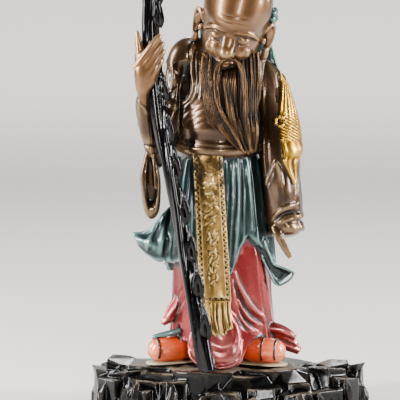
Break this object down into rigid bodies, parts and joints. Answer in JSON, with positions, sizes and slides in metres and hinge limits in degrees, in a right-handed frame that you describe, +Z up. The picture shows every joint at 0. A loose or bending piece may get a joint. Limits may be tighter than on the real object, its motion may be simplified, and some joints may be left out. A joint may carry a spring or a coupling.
{
  "type": "shou lao figure",
  "caption": "Lacquered carved figure of an old sage with a high bald head and long beard, leaning on a gnarled staff, on a rockwork base.",
  "frame": {"origin": "middle of the rock base's flat underside, on the surface it stands on", "axes": "+Z up, the figure faces -Y, +X to the figure's left hand"},
  "size_m": [0.282, 0.1879, 0.4925],
  "materials": {
    "figure_lacquer": "carved wood under bronze-brown, green, red, orange and gilt lacquer, glossy",
    "staff_lacquer": "carved wood under glossy black lacquer",
    "rock_lacquer": "carved wood under glossy black lacquer with tawny rubbed tops"
  },
  "bodies": {
    "root": {"figure": "figure_lacquer", "staff": "staff_lacquer", "rock_base": "rock_lacquer"}
  },
  "joints": []
}
